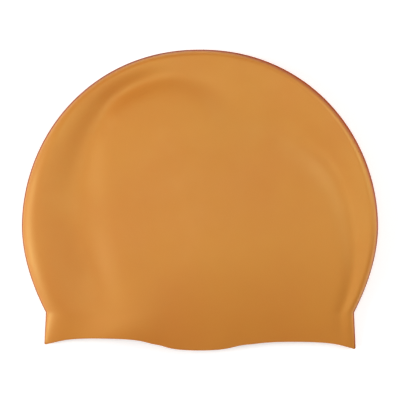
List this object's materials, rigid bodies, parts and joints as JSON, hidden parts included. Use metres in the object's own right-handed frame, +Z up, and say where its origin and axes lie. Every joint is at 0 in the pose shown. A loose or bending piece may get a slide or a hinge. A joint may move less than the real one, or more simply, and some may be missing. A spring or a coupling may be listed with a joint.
{
  "type": "swim cap",
  "caption": "Moulded silicone swim cap lying flat on its side, with a round crown, rolled edges, a drawn-in waist and a wavy open hem.",
  "frame": {"origin": "on the surface that the cap lies on, under the middle of its bounding box", "axes": "+X from fold to fold, to the right as the picture shows the cap; +Y towards the crown, with the mouth open towards -Y; +Z up, out of the face that shows"},
  "size_m": [0.225, 0.19, 0.0201],
  "materials": {
    "silicone": "satin"
  },
  "bodies": {
    "root": {"cap_shell": "silicone"}
  },
  "joints": []
}
